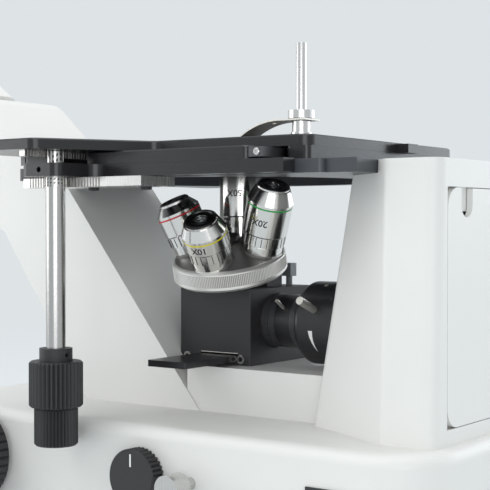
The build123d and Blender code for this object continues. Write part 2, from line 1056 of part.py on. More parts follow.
def chamber_z():
    return tube_axis_z - chamber_half


def make_filter_box():
    body = slab(box_seam_x, box_right_x, -box_half_width, box_half_width, deck_top_z, box_top_z)
    sides = body.edges().filter_by(Axis.Z).filter_by(lambda edge: edge.center().X > 0)
    body = chamfer(sides, box_chamfer)
    body = body - slider_slot() - light_bores() - arm_blank()
    for place in box_screw_places():
        body -= round_bar(box_screw_radius, box_screw_length, place, (-1, 0, 0))
    return body


def slider_slot():
    return slab(
        slider_inner_x - slider_push - 1,
        box_right_x + 1,
        slider_front_y - slide_gap,
        slider_rear_y + slide_gap,
        slider_bottom_z,
        slider_bottom_z + slider_thickness + slider_headroom,
    )


def box_screw_places():
    return [(box_right_x, side * box_screw_y, box_screw_z) for side in (-1, 1)]


def make_box_screws():
    screws = []
    for place in box_screw_places():
        screw = round_bar(box_screw_head_radius, box_screw_head, place, (1, 0, 0))
        screw += round_bar(box_screw_radius, box_screw_length, place, (-1, 0, 0))
        socket_start = (place[0] + box_screw_head, place[1], place[2])
        socket = Plane(origin=socket_start, z_dir=(-1, 0, 0)) * RegularPolygon(box_screw_head_radius / 2, 6)
        screws.append(screw - extrude(socket, box_screw_head))
    return screws


def make_reflector_housing():
    body = slab(box_left_x, box_seam_x, -box_half_width, box_half_width, deck_top_z, box_top_z)
    pocket = slab(
        focus_slide_left_x - slide_gap,
        focus_slide_right_x + slide_gap,
        -focus_slide_half_width - slide_gap,
        focus_slide_half_width + slide_gap,
        focus_slide_bottom_z - focus_down - slide_gap,
        box_top_z + 1,
    )
    return body - pocket - slider_slot() - light_bores() - arm_blank()


def make_beam_splitter():
    half = chamber_half - slide_gap
    return slab(-half, half, -half, half, chamber_z(), chamber_z() + 2 * half)


def make_slider():
    plate = slab(
        slider_inner_x,
        slider_front_x,
        slider_front_y,
        slider_rear_y,
        slider_bottom_z,
        slider_bottom_z + slider_thickness,
    )
    rim = plate.edges().filter_by(Axis.Z).filter_by(lambda edge: edge.center().X > box_right_x)
    plate = fillet(rim, slider_corner)
    window = (slider_push, 0, slider_bottom_z - 1)
    return plate - round_bar(slider_window_radius, slider_thickness + 2, window, (0, 0, 1))


def about_tube(points):
    """A solid of revolution about the illuminator's axis, from Y and radius."""
    outline = make_face(Plane.YZ * Polyline(*[(y, r) for y, r in points], close=True))
    return Pos(0, 0, tube_axis_z) * revolve(outline, Axis.Y)


def make_illuminator_tube():
    ring_end = field_ring_start_y + field_ring_width
    tube = about_tube(
        [
            (box_half_width, tube_bore_radius),
            (box_half_width, flange_radius),
            (flange_end_y, flange_radius),
            (flange_end_y, small_tube_radius),
            (field_ring_start_y, small_tube_radius),
            (field_ring_start_y, field_neck_radius),
            (ring_end, field_neck_radius),
            (ring_end, small_tube_radius),
            (small_tube_end_y, small_tube_radius),
            (small_tube_end_y, tube_bore_radius),
        ]
    )
    return tube


def make_field_ring():
    gap = slide_gap / 2
    ring_end = field_ring_start_y + field_ring_width
    ring = about_tube(
        [
            (field_ring_start_y + gap, field_neck_radius + running_gap),
            (field_ring_start_y + gap, small_tube_radius),
            (ring_end - gap, small_tube_radius),
            (ring_end - gap, field_neck_radius + running_gap),
        ]
    )
    return ring - field_pin(running_gap)


def lever_pin(y, angle, inner, radius, reach):
    way = (cos(radians(angle)), 0, sin(radians(angle)))
    start = (way[0] * inner, y, tube_axis_z + way[2] * inner)
    return round_bar(radius, reach, start, way)


def field_pin(play):
    y = field_ring_start_y + field_ring_width / 2
    inner = field_neck_radius + 1
    reach = small_tube_radius + field_pin_reach - inner
    return lever_pin(y, field_pin_angle, inner, field_pin_radius + play, reach)


def make_aperture_ring():
    gap = slide_gap / 2
    start = small_tube_end_y + gap
    end = aperture_ring_end_y - gap
    ring = about_tube(
        [
            (start, aperture_neck_radius + running_gap),
            (start, aperture_ring_radius),
            (end, aperture_ring_radius),
            (end, aperture_neck_radius + running_gap),
        ]
    )
    front_rim = ring.edges().filter_by(GeomType.CIRCLE).sort_by(Axis.Y)[:2].sort_by(SortBy.RADIUS)[-1]
    ring = fillet(front_rim, aperture_shoulder)
    return ring - aperture_pin(running_gap)


def aperture_pin(play):
    y = aperture_ring_end_y - aperture_pin_inset
    inner = aperture_neck_radius + 2
    reach = aperture_ring_radius + aperture_pin_reach - inner
    return lever_pin(y, aperture_pin_angle, inner, aperture_pin_radius + play, reach)


def make_lamp_tube():
    end = column_front_bottom_y + lamp_tube_seat
    tube = about_tube(
        [
            (small_tube_end_y, tube_bore_radius),
            (small_tube_end_y, aperture_neck_radius),
            (aperture_ring_end_y, aperture_neck_radius),
            (aperture_ring_end_y, lamp_tube_radius),
            (end, lamp_tube_radius),
            (end, tube_bore_radius),
        ]
    )
    return tube


def make_lamp_holder():
    y = (column_front_top_y + column_wall + column_rear_y - door_thickness) / 2
    post = slab(
        -lamp_holder_half,
        lamp_holder_half,
        y - lamp_holder_half,
        y + lamp_holder_half,
        lamp_room_bottom_z,
        tube_axis_z - lamp_height,
    )
    return post


def make_lamp():
    y = (column_front_top_y + column_wall + column_rear_y - door_thickness) / 2
    z0 = tube_axis_z - lamp_height
    bulb = turned(
        [
            (0, z0),
            (lamp_radius * 0.8, z0),
            (lamp_radius, z0 + lamp_height * 0.4),
            (lamp_radius, z0 + lamp_height * 1.1),
            (lamp_radius * 0.6, z0 + lamp_height * 1.5),
            (0, z0 + lamp_height * 1.6),
        ]
    )
    return Pos(0, y, 0) * bulb


# Nosepiece


def turret_plane():
    """Plane at the cone's apex on the optical axis; its Z is the turret's axis, its X leans down."""
    tilt = radians(turret_tilt)
    turn = radians(turret_turn)
    axis = (sin(tilt) * cos(turn), sin(tilt) * sin(turn), cos(tilt))
    down = (cos(tilt) * cos(turn), cos(tilt) * sin(turn), -sin(tilt))
    return Plane(origin=(0, 0, apex_z), x_dir=down, z_dir=axis)


def on_turret(shape):
    return turret_plane() * shape


def objective_place(turn):
    """Seat of one objective, its axis along Z."""
    lean = Rot(0, 0, turn) * Rot(0, turret_tilt, 0) * Pos(0, 0, seat_distance)
    return turret_plane().location * lean


def turret_height(radius):
    """Height of the turret's conical face above the apex, at a radius."""
    tilt = radians(turret_tilt)
    return seat_distance * cos(tilt) - (radius - seat_distance * sin(tilt)) * tan(tilt)


def ring_bottom():
    return turret_height(ring_radius) - ring_rim_drop - ring_height


def make_turret():
    top = turret_height(ring_radius) - seat_boss
    bottom = ring_bottom()
    crown = turret_crown_radius
    body = turned(
        [
            (turret_pivot_radius + running_gap, bottom),
            (ring_radius - ring_round, bottom),
            (ring_radius, bottom + ring_round),
            (ring_radius, top - ring_rim_drop),
            (ring_radius - ring_round / 2, top - ring_rim_drop + ring_round / 2),
            (ring_radius - ring_round, turret_height(ring_radius - ring_round) - seat_boss),
            (crown, turret_height(crown) - seat_boss),
            (turret_pivot_radius + running_gap, turret_height(crown) - seat_boss),
        ]
    )
    knurl_low = bottom + 2 * ring_round
    knurl_high = top - ring_rim_drop - ring_round / 2
    body = ribbed(body, ring_radius, knurl_count, knurl_depth, knurl_low, knurl_high)
    for turn in objective_turns:
        seat = Rot(0, 0, turn) * Rot(0, turret_tilt, 0) * Pos(0, 0, seat_distance)
        boss = Cylinder(objective_base_radius + slide_gap, objective_thread_length)
        body += seat * Pos(0, 0, -objective_thread_length / 2) * boss
        body -= seat * Cylinder(objective_thread_radius, 2 * objective_thread_length)
        body -= seat * Pos(0, 0, -seat_distance / 2) * Cylinder(light_radius, seat_distance)
    return on_turret(body)


def make_turret_base():
    top = ring_bottom() - slide_gap
    low = top - turret_base_thickness
    plate = round_bar(turret_base_radius, turret_base_thickness, (0, 0, low), (0, 0, 1))
    plate += slab(-turret_base_reach, 0, -turret_base_width / 2, turret_base_width / 2, low, top)
    plate += round_bar(turret_pivot_radius, turret_height(turret_crown_radius) - top, (0, 0, top), (0, 0, 1))
    cap_z = turret_height(turret_crown_radius) + slide_gap
    plate += round_bar(turret_pivot_radius, slide_gap, (0, 0, cap_z - slide_gap), (0, 0, 1))
    plate += round_bar(turret_pivot_radius + 2, turret_cap, (0, 0, cap_z), (0, 0, 1))
    plate = on_turret(plate)
    return plate - round_bar(light_radius, seat_z, (0, 0, apex_z), (0, 0, 1))


def make_nosepiece_slide():
    """Upright block that rises out of the housing and carries the turret's plate."""
    block = slab(
        focus_slide_left_x,
        focus_slide_right_x,
        -focus_slide_half_width,
        focus_slide_half_width,
        focus_slide_bottom_z,
        seat_z,
    )
    under = ring_bottom() - slide_gap - turret_base_thickness
    above = on_turret(Pos(0, 0, under + seat_distance) * Box(4 * seat_distance, 4 * seat_distance, 2 * seat_distance))
    return block - above


def make_stop_post():
    post = round_bar(stop_post_radius, stop_post_height, (stop_post_x, stop_post_y, box_top_z), (0, 0, 1))
    block_z = box_top_z + stop_post_height
    half = stop_block / 2
    block = slab(
        stop_post_x - half,
        stop_post_x + half,
        stop_post_y - half,
        stop_post_y + half,
        block_z,
        block_z + 1.25 * stop_block,
    )
    return post + block


def make_objective(length, nose_radius, nose_length, turn):
    """Barrel with a threaded foot, grip band, colour ring groove and tapered nose."""
    ring_z = length - nose_length - ring_groove_width - ring_below_cone
    base = objective_base_radius
    grip = objective_grip_radius
    wide = objective_body_radius
    barrel = turned(
        [
            (lens_hole_radius, -objective_thread_length + slide_gap),
            (objective_thread_radius - running_gap, -objective_thread_length + slide_gap),
            (objective_thread_radius - running_gap, 0),
            (base, 0),
            (base, objective_foot),
            (base - foot_groove_depth, objective_foot),
            (base - foot_groove_depth, objective_foot + foot_groove_width),
            (grip, objective_foot + foot_groove_width),
            (grip, grip_top),
            (wide, grip_top + grip_step),
            (wide, ring_z),
            (wide - ring_groove_depth, ring_z),
            (wide - ring_groove_depth, ring_z + ring_groove_width),
            (wide, ring_z + ring_groove_width),
            (wide, length - nose_length),
            (nose_radius + nose_rim_step, length - nose_rim_height),
            (nose_radius, length - nose_rim_height),
            (nose_radius, length),
            (lens_hole_radius, length),
        ]
    )
    return objective_place(turn) * barrel


def make_front_lenses():
    lenses = []
    for length, turn in zip(objective_lengths, objective_turns):
        lens = turned(
            [
                (0, length - lens_thickness),
                (lens_hole_radius - running_gap, length - lens_thickness),
                (lens_hole_radius - running_gap, length - 1),
                (0, length - 0.4),
            ]
        )
        lenses.append(objective_place(turn) * lens)
    return lenses


# Focus drive and side fittings


def side_knob(radius, width, x0, side):
    """A grooved knob on the focus axis, across the base."""
    body = turned(
        [
            (0, 0),
            (radius - knob_chamfer, 0),
            (radius, knob_chamfer),
            (radius, width - 2 * knob_chamfer),
            (radius - 2 * knob_chamfer, width),
            (0, width),
        ]
    )
    body = ribbed(body, radius, knob_rib_count, knob_rib_depth, -1, width - 2 * knob_chamfer)
    return Plane(origin=(side * x0, knob_axis_y, knob_axis_z), z_dir=(side, 0, 0)) * body


def coarse_x():
    return base_half_width + focus_collar_width


def make_coarse_drive():
    """Hollow shaft across the base with a grooved knob at each end."""
    start = (-coarse_x() - coarse_width, knob_axis_y, knob_axis_z)
    length = 2 * (coarse_x() + coarse_width)
    drive = round_bar(focus_shaft_radius, length, start, (1, 0, 0))
    for side in (-1, 1):
        drive += side_knob(coarse_radius, coarse_width, coarse_x(), side)
    return drive - round_bar(fine_shaft_radius + running_gap, length + 2, (start[0] - 1, *start[1:]), (1, 0, 0))


def fine_x():
    return coarse_x() + coarse_width + slide_gap


def make_fine_drive():
    """Fine shaft right through the base, with a grooved knob at each end."""
    reach = outer_knob_x
    shaft = round_bar(fine_shaft_radius, 2 * reach, (-reach, knob_axis_y, knob_axis_z), (1, 0, 0))
    for side in (-1, 1):
        shaft += side_knob(fine_radius, reach - fine_x(), fine_x(), side)
    return shaft


def make_camera_port():
    start = (-base_half_width, camera_port_y, camera_port_z)
    return pipe(camera_port_radius, camera_bore_radius, camera_port_length, start, (-1, 0, 0))


def make_selector():
    start = (base_half_width - selector_depth() / 2, selector_y, camera_port_z)
    rod = round_bar(selector_rod_radius, selector_depth() / 2 + selector_reach, start, (1, 0, 0))
    knob_start = (base_half_width + selector_travel + selector_stub, selector_y, camera_port_z)
    knob = round_bar(selector_knob_radius, selector_reach - selector_travel - selector_stub, knob_start, (1, 0, 0))
    return rod + knob


def make_dial():
    start = (base_half_width + slide_gap, dial_y, knob_axis_z)
    body = turned(
        [
            (0, 0),
            (dial_radius, 0),
            (dial_radius, dial_width - knob_chamfer),
            (dial_radius - knob_chamfer, dial_width),
            (0, dial_width),
        ]
    )
    body = ribbed(body, dial_radius, knob_rib_count, knob_rib_depth, -1, dial_width - knob_chamfer)
    dial = Plane(origin=start, z_dir=(1, 0, 0)) * body
    return dial + round_bar(dial_shaft_radius, base_wall + slide_gap, start, (-1, 0, 0))


def make_switch_frame():
    outer = switch_block()
    inner = slab(
        base_half_width - base_wall / 2,
        base_half_width + 2,
        switch_y - switch_height / 2 + switch_rim,
        switch_y + switch_height / 2 - switch_rim,
        knob_axis_z - switch_width / 2 + switch_rim,
        knob_axis_z + switch_width / 2 - switch_rim,
    )
    return outer - inner - rocker_pins(running_gap)


def rocker_pins(play):
    """Pivot of the rocker key: a pin right through it into both rims of the frame."""
    x = base_half_width - base_wall / 2 + rocker_lift + base_wall / 4 - slide_gap
    half = switch_width / 2 - switch_rim + rocker_pin_reach
    return round_bar(rocker_pin_radius + play, 2 * half, (x, switch_y, knob_axis_z - half), (0, 0, 1))


def switch_block():
    half_height = switch_height / 2
    half_width = switch_width / 2
    return slab(
        base_half_width - base_wall,
        base_half_width + switch_proud,
        switch_y - half_height,
        switch_y + half_height,
        knob_axis_z - half_width,
        knob_axis_z + half_width,
    )


def make_rocker():
    """Rocker key, wedge-shaped on both sides of its pivot."""
    half = switch_height / 2 - switch_rim - slide_gap
    thick = base_wall / 2 - 2 * slide_gap
    x0 = base_half_width - base_wall / 2 + rocker_lift
    face = make_face(
        Plane.XY
        * Polyline(
            (x0, -half * 0.5),
            (x0 + thick, -half),
            (x0 + thick - rocker_dip, 0),
            (x0 + thick, half),
            (x0, half * 0.5),
            close=True,
        )
    )
    width = switch_width - 2 * switch_rim - 2 * slide_gap
    key = Pos(0, switch_y, knob_axis_z) * extrude(face, width / 2, both=True)
    return key + rocker_pins(0)


def make_inlet():
    """Appliance inlet: a recessed shroud with three contact blades."""
    outer = slab(
        -inlet_half_width,
        inlet_half_width,
        base_rear_y - inlet_depth,
        base_rear_y,
        knob_axis_z - inlet_half_height,
        knob_axis_z + inlet_half_height,
    )
    inner = slab(
        -inlet_half_width + inlet_wall,
        inlet_half_width - inlet_wall,
        base_rear_y - inlet_depth + inlet_wall,
        base_rear_y + 1,
        knob_axis_z - inlet_half_height + inlet_wall,
        knob_axis_z + inlet_half_height - inlet_wall,
    )
    shroud = outer - inner
    for x, dz in ((-7, -2), (0, 2), (7, -2)):
        shroud += slab(
            x - 1,
            x + 1,
            base_rear_y - inlet_depth + inlet_wall,
            base_rear_y - inlet_wall,
            knob_axis_z + dz - 2,
            knob_axis_z + dz + 2,
        )
    return shroud


# Viewing head


def head_plane():
    y, z = head_face_middle()
    return Plane(origin=(0, y, z), x_dir=(1, 0, 0), z_dir=(0, -sin(head_slope), cos(head_slope)))


def on_head(shape):
    return head_plane() * shape


def make_head_mount():
    return on_head(round_bar(head_mount_radius, head_mount_height, (0, 0, 0), (0, 0, 1)))


def make_head_body():
    low = Pos(0, 0, head_mount_height) * RectangleRounded(2 * head_half_width, head_depth, head_corner)
    high = Pos(0, 0, head_mount_height + head_height) * RectangleRounded(
        2 * head_half_width - head_taper, head_depth - head_taper, head_corner
    )
    body = loft([low, high])
    rim = body.faces().sort_by(Axis.Z)[-1].outer_wire().edges()
    body = fillet(rim, head_round)
    pivot = round_bar(head_pivot_radius, carrier_top(1) - head_top(), (0, 0, head_top()), (0, 0, 1))
    return on_head(body + pivot)


def head_top():
    return head_mount_height + head_height


def carrier_bottom(level):
    return head_top() + slide_gap + level * (carrier_thickness + slide_gap)


def carrier_top(level):
    return carrier_bottom(level) + carrier_thickness


def make_carrier(side, level):
    """Swinging arm that carries one eyepiece tube round the head's pivot."""
    z = carrier_bottom(level)
    hub = Circle(carrier_radius)
    end = Pos(side * tube_offset, 0) * Circle(carrier_radius - 3)
    bridge = Pos(side * tube_offset / 2, 0) * Rectangle(tube_offset, 2 * carrier_radius - 6)
    face = hub + end + bridge
    arm = Pos(0, 0, z) * extrude(face, carrier_thickness)
    arm -= round_bar(head_pivot_radius + running_gap, carrier_thickness + 2, (0, 0, z - 1), (0, 0, 1))
    arm -= round_bar(eyepiece_barrel_radius, carrier_thickness + 2, (side * tube_offset, 0, z - 1), (0, 0, 1))
    return on_head(arm)


def eye_tube_start(level):
    return carrier_top(level)


def eye_tube_end():
    return carrier_top(1) + eye_tube_length


def make_eye_tube(side, level):
    start = (side * tube_offset, 0, eye_tube_start(level))
    length = eye_tube_end() - eye_tube_start(level)
    return on_head(pipe(eye_tube_radius, eyepiece_barrel_radius + running_gap, length, start, (0, 0, 1)))


def make_diopter_ring():
    start = (-tube_offset, 0, eye_tube_end() - 2 * diopter_width)
    ring = turned(
        [
            (eye_tube_radius + running_gap, 0),
            (eyepiece_radius, 0),
            (eyepiece_radius, diopter_width),
            (eye_tube_radius + running_gap, diopter_width),
        ]
    )
    ring = ribbed(ring, eyepiece_radius, knob_rib_count, knob_rib_depth / 2, -1, diopter_width + 1)
    return on_head(Pos(*start) * ring)


def make_eyepiece(side):
    z = eye_tube_end()
    body = turned(
        [
            (0, z - eyepiece_barrel_length),
            (eyepiece_barrel_radius, z - eyepiece_barrel_length),
            (eyepiece_barrel_radius, z),
            (eyepiece_radius - 1, z),
            (eyepiece_radius, z + 1),
            (eyepiece_radius, z + eyepiece_length - 1),
            (eyepiece_radius - 1, z + eyepiece_length),
            (eye_lens_radius, z + eyepiece_length),
            (eye_lens_radius, z + eyepiece_length - lens_thickness),
            (0, z + eyepiece_length - lens_thickness / 2),
        ]
    )
    return on_head(Pos(side * tube_offset, 0, 0) * body)


def make_eyecup(side):
    z = eye_tube_end() + eyepiece_length
    cup = turned(
        [
            (eye_lens_radius, z),
            (eyepiece_radius, z),
            (eyepiece_radius, z + eyecup_height - 1.5),
            (eyepiece_radius - 1.5, z + eyecup_height),
            (eyepiece_radius - 3, z + eyecup_height),
            (eye_lens_radius, z + 2),
        ]
    )
    return on_head(Pos(side * tube_offset, 0, 0) * cup)


def build_nodes():
    made = {
        "base_housing": make_base(),
        "bottom_cover": make_bottom_cover(),
        "rubber_feet": make_feet(),
        "front_arm": make_arm(),
        "rear_column": make_column(),
        "lamp_door": make_door(),
        "lamp_holder": make_lamp_holder(),
        "halogen_lamp": make_lamp(),
        "stage_fixed_plate": make_fixed_plate(),
        "y_rack": make_y_rack(),
        "stage_carriage": make_carriage(),
        "carriage_side_bar": make_side_bar(),
        "x_guide_strips": make_x_guides(),
        "stage_top_plate": make_top_plate(),
        "x_rails": [make_rail(rear_rail_y(), plate_rear_y), make_rail(plate_front_y, front_rail_y())],
        "x_rack": make_x_rack(),
        "stage_insert": make_insert(),
        "clip_post": make_clip_post(),
        "clip_leaf": make_clip_leaf(),
        "y_drive_tube": make_y_drive_tube(),
        "y_drive_knob": make_y_knob(),
        "x_drive_shaft": make_x_drive_shaft(),
        "x_drive_knob": make_x_knob(),
        "filter_box": make_filter_box(),
        "box_screws": make_box_screws(),
        "reflector_housing": make_reflector_housing(),
        "beam_splitter": make_beam_splitter(),
        "analyser_slider": make_slider(),
        "illuminator_tube": make_illuminator_tube(),
        "field_stop_ring": make_field_ring(),
        "field_stop_lever": field_pin(0),
        "aperture_ring": make_aperture_ring(),
        "aperture_lever": aperture_pin(0),
        "lamp_tube": make_lamp_tube(),
        "turret": make_turret(),
        "turret_base": make_turret_base(),
        "nosepiece_slide": make_nosepiece_slide(),
        "focus_stop_post": make_stop_post(),
        "objective_front_lenses": make_front_lenses(),
        "coarse_focus_drive": make_coarse_drive(),
        "fine_focus_drive": make_fine_drive(),
        "camera_port": make_camera_port(),
        "path_selector": make_selector(),
        "intensity_dial": make_dial(),
        "switch_frame": make_switch_frame(),
        "power_rocker": make_rocker(),
        "power_inlet": make_inlet(),
        "head_mount": make_head_mount(),
        "head_body": make_head_body(),
    }
    for name, spec in objective_specs.items():
        made[name] = make_objective(*spec)
    for word, side, level in (("left", -1, 0), ("right", 1, 1)):
        tube = make_eye_tube(side, level)
        made[f"{word}_eye_tube"] = make_carrier(side, level) + tube
        made[f"{word}_eyepiece"] = make_eyepiece(side)
        made[f"{word}_eyecup"] = make_eyecup(side)
    made["diopter_ring"] = make_diopter_ring()
    return made


def solids_of(shape):
    shapes = shape if isinstance(shape, list) else [shape]
    return [solid for one in shapes for solid in one.solids()]


made_nodes = {name: solids_of(shape) for name, shape in build_nodes().items()}
boxes = [solid.bounding_box() for group in made_nodes.values() for solid in group]
middle_x = (min(box.min.X for box in boxes) + max(box.max.X for box in boxes)) / 2
middle_y = (min(box.min.Y for box in boxes) + max(box.max.Y for box in boxes)) / 2
lowest_z = min(box.min.Z for box in boxes)
to_middle = Pos(-middle_x, -middle_y, -lowest_z)
os.makedirs("parts", exist_ok=True)
for name, group in made_nodes.items():
    moved = [to_middle * solid for solid in group]
    export_step(Compound(children=moved), f"parts/{name}.step")
print("optical axis at", to_middle.position)
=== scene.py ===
import json
from math import atan2, cos, pi, radians, sin

import bpy
from mathutils import Matrix, Vector


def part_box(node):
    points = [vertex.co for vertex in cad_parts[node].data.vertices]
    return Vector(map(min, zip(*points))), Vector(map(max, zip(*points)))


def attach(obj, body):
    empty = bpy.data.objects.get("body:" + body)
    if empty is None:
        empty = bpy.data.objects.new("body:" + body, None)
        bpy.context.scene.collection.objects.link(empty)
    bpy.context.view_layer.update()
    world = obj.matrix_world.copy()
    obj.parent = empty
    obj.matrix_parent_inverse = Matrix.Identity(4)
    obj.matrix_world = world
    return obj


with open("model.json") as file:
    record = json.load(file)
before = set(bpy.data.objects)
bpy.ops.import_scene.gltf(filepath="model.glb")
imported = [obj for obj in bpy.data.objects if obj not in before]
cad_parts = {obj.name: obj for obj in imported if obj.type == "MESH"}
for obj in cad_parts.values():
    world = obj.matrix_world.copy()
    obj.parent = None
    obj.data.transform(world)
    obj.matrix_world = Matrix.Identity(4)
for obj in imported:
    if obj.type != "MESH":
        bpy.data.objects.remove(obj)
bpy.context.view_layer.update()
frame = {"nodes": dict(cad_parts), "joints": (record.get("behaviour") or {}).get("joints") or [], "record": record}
nodes = frame["nodes"]
joints = {joint["name"]: joint for joint in frame["joints"]}
scene = bpy.context.scene
MM = 0.001
UP = Vector((0, 0, 1))


# Materials


def linear(red, green, blue):
    """Linear colour from the 0 to 255 values that a screen shows."""
    def one(value):
        value /= 255
        return value / 12.92 if value <= 0.04045 else ((value + 0.055) / 1.055) ** 2.4
    return (one(red), one(green), one(blue), 1.0)


def new_material(name):
    material = bpy.data.materials.new(name)
    material.use_nodes = True
    shader = material.node_tree.nodes["Principled BSDF"]
    return material, material.node_tree, shader


def add(tree, kind, **values):
    node = tree.nodes.new(kind)
    for key, value in values.items():
        if hasattr(node, key):
            setattr(node, key, value)
        else:
            node.inputs[key].default_value = value
    return node


EVEN = (1, 1, 1)


def noise(tree, scale, detail, stretch=EVEN):
    """Noise in the object's own coordinates, drawn out along an axis if asked."""
    place = add(tree, "ShaderNodeTexCoord")
    mapping = add(tree, "ShaderNodeMapping", Scale=stretch)
    texture = add(tree, "ShaderNodeTexNoise", Scale=scale, Detail=detail)
    tree.links.new(place.outputs["Object"], mapping.inputs["Vector"])
    tree.links.new(mapping.outputs["Vector"], texture.inputs["Vector"])
    return texture.outputs["Fac"]


RAMP_START = 0.3
RAMP_END = 0.7


def ramp(tree, source, low, high):
    node = add(tree, "ShaderNodeValToRGB")
    first, last = node.color_ramp.elements
    first.position = RAMP_START
    last.position = RAMP_END
    first.color = low
    last.color = high
    tree.links.new(source, node.inputs["Fac"])
    return node.outputs["Color"]


def mapped(tree, source, start, end, low, high):
    """The source's span from start to end, spread from low to high."""
    node = add(tree, "ShaderNodeMapRange")
    node.inputs["From Min"].default_value = start
    node.inputs["From Max"].default_value = end
    node.inputs["To Min"].default_value = low
    node.inputs["To Max"].default_value = high
    tree.links.new(source, node.inputs["Value"])
    return node.outputs["Result"]


def math_node(tree, operation, first, second):
    """One operation on two values, each of them a socket or a number."""
    node = add(tree, "ShaderNodeMath", operation=operation)
    for index, value in enumerate((first, second)):
        if isinstance(value, (int, float)):
            node.inputs[index].default_value = value
        else:
            tree.links.new(value, node.inputs[index])
    return node.outputs[0]


def toned(colour, share):
    return tuple(min(1.0, value * share) for value in colour[:3]) + (1.0,)


CLOUD_SCALE = 14
CLOUD_DETAIL = 4.0
GRAIN_DETAIL = 2.0
GLOSS_LOW = 0.85
GLOSS_HIGH = 1.2
RELIEF_DISTANCE = 0.0004


def finish_surface(name, colour, metal, rough, grain, relief, change, stretch=EVEN):
    """A surface with slow tone changes, a fine grain in its gloss and a fine relief."""
    material, tree, shader = new_material(name)
    slow = noise(tree, CLOUD_SCALE, CLOUD_DETAIL)
    fine = noise(tree, grain, GRAIN_DETAIL, stretch)
    tones = ramp(tree, slow, toned(colour, 1 - change), toned(colour, 1 + change))
    tree.links.new(tones, shader.inputs["Base Color"])
    gloss = mapped(tree, fine, 0, 1, rough * GLOSS_LOW, min(1.0, rough * GLOSS_HIGH))
    tree.links.new(gloss, shader.inputs["Roughness"])
    bump = add(tree, "ShaderNodeBump", Strength=relief, Distance=RELIEF_DISTANCE)
    tree.links.new(fine, bump.inputs["Height"])
    tree.links.new(bump.outputs["Normal"], shader.inputs["Normal"])
    shader.inputs["Metallic"].default_value = metal
    return material


GLASS_COLOUR = linear(236, 242, 245)
GLASS_SHADE = 0.9
GLASS_ROUGH = 0.02
GLASS_SMEAR_ROUGH = 0.06
GLASS_SMEAR_SCALE = 60
GLASS_SMEAR_DETAIL = 3.0
GLASS_CLEARNESS = 0.9
GLASS_INDEX = 1.5


def glass_surface(name):
    material, tree, shader = new_material(name)
    smear = noise(tree, GLASS_SMEAR_SCALE, GLASS_SMEAR_DETAIL)
    tones = ramp(tree, smear, toned(GLASS_COLOUR, GLASS_SHADE), GLASS_COLOUR)
    tree.links.new(tones, shader.inputs["Base Color"])
    gloss = mapped(tree, smear, 0, 1, GLASS_ROUGH, GLASS_SMEAR_ROUGH)
    tree.links.new(gloss, shader.inputs["Roughness"])
    shader.inputs["Transmission Weight"].default_value = GLASS_CLEARNESS
    shader.inputs["IOR"].default_value = GLASS_INDEX
    return material


# Colour as seen, metal, roughness, scale of the grain, relief, tone change
FINISHES = {
    "white_paint": ((228, 227, 223), 0.0, 0.38, 1400, 0.05, 0.02),
    "black_anodise": ((30, 30, 32), 0.0, 0.24, 2600, 0.05, 0.10),
    "matte_black": ((42, 42, 43), 0.0, 0.55, 2200, 0.10, 0.10),
    "tube_black": ((36, 36, 38), 0.0, 0.33, 2400, 0.06, 0.10),
    "knob_black": ((44, 44, 45), 0.0, 0.50, 1800, 0.12, 0.12),
    "rubber": ((28, 28, 28), 0.0, 0.75, 1200, 0.25, 0.10),
    "steel": ((205, 204, 202), 1.0, 0.26, 900, 0.02, 0.05),
    "chrome": ((222, 221, 218), 1.0, 0.16, 1600, 0.015, 0.03),
    "dark_steel": ((96, 96, 98), 1.0, 0.30, 1500, 0.03, 0.08),
    "tube_grey": ((60, 60, 62), 0.0, 0.32, 1500, 0.05, 0.08),
    # a lighter grey copy of the black plate finish: painted light on the shaded fixed plate
    "plate_painted_light_grey": ((66, 68, 72), 0.0, 0.34, 1500, 0.05, 0.06),
    "rod_steel": ((184, 183, 181), 1.0, 0.24, 1200, 0.02, 0.04),
    "satin_steel": ((222, 219, 212), 0.85, 0.42, 1200, 0.03, 0.04),
    "grey_paint": ((128, 131, 135), 0.0, 0.40, 1500, 0.05, 0.05),
    "ceramic": ((226, 220, 206), 0.0, 0.45, 700, 0.10, 0.05),
    "lens_black": ((18, 18, 19), 0.0, 0.30, 2000, 0.05, 0.15),
    "ink_black": ((22, 22, 24), 0.0, 0.45, 1500, 0.02, 0.10),
    "mark_white": ((235, 235, 232), 0.0, 0.50, 1500, 0.02, 0.03),
    "ring_red": ((205, 30, 36), 0.0, 0.32, 1500, 0.02, 0.08),
    "ring_yellow": ((224, 210, 24), 0.0, 0.32, 1500, 0.02, 0.06),
    "ring_green": ((40, 168, 74), 0.0, 0.32, 1500, 0.02, 0.08),
    "ring_blue": ((60, 150, 205), 0.0, 0.32, 1500, 0.02, 0.08),
    "turret_nickel": ((238, 236, 231), 0.7, 0.36, 1600, 0.04, 0.05),
}
# Brushed finishes: the grain is drawn out along Y or along Z
BRUSHED = {"black_anodise": (1, 0.02, 1), "steel": (1, 1, 0.02)}
finish = {"glass": glass_surface("clear_glass")}
for name, (colour, *values) in FINISHES.items():
    finish[name] = finish_surface(name, linear(*colour), *values, BRUSHED.get(name, EVEN))


# Face and knurled band of the turret: radii, and heights along its axis from the joint's place, in mm.
# The tones are shares of the plain colour; the groove tone is painted shade in the knurl grooves.
FACE_EDGE = 30.4
FACE_BLEND = 0.3
FACE_TONE = 0.32
KNURL_CREST = 32.45
KNURL_FLOOR = 32.15
KNURL_ROOT = 31.9
KNURL_LOW = 51.3
KNURL_HIGH = 58.2
GROOVE_SHADE_TONE = 0.5
turret_joint = joints["turret_turn"]


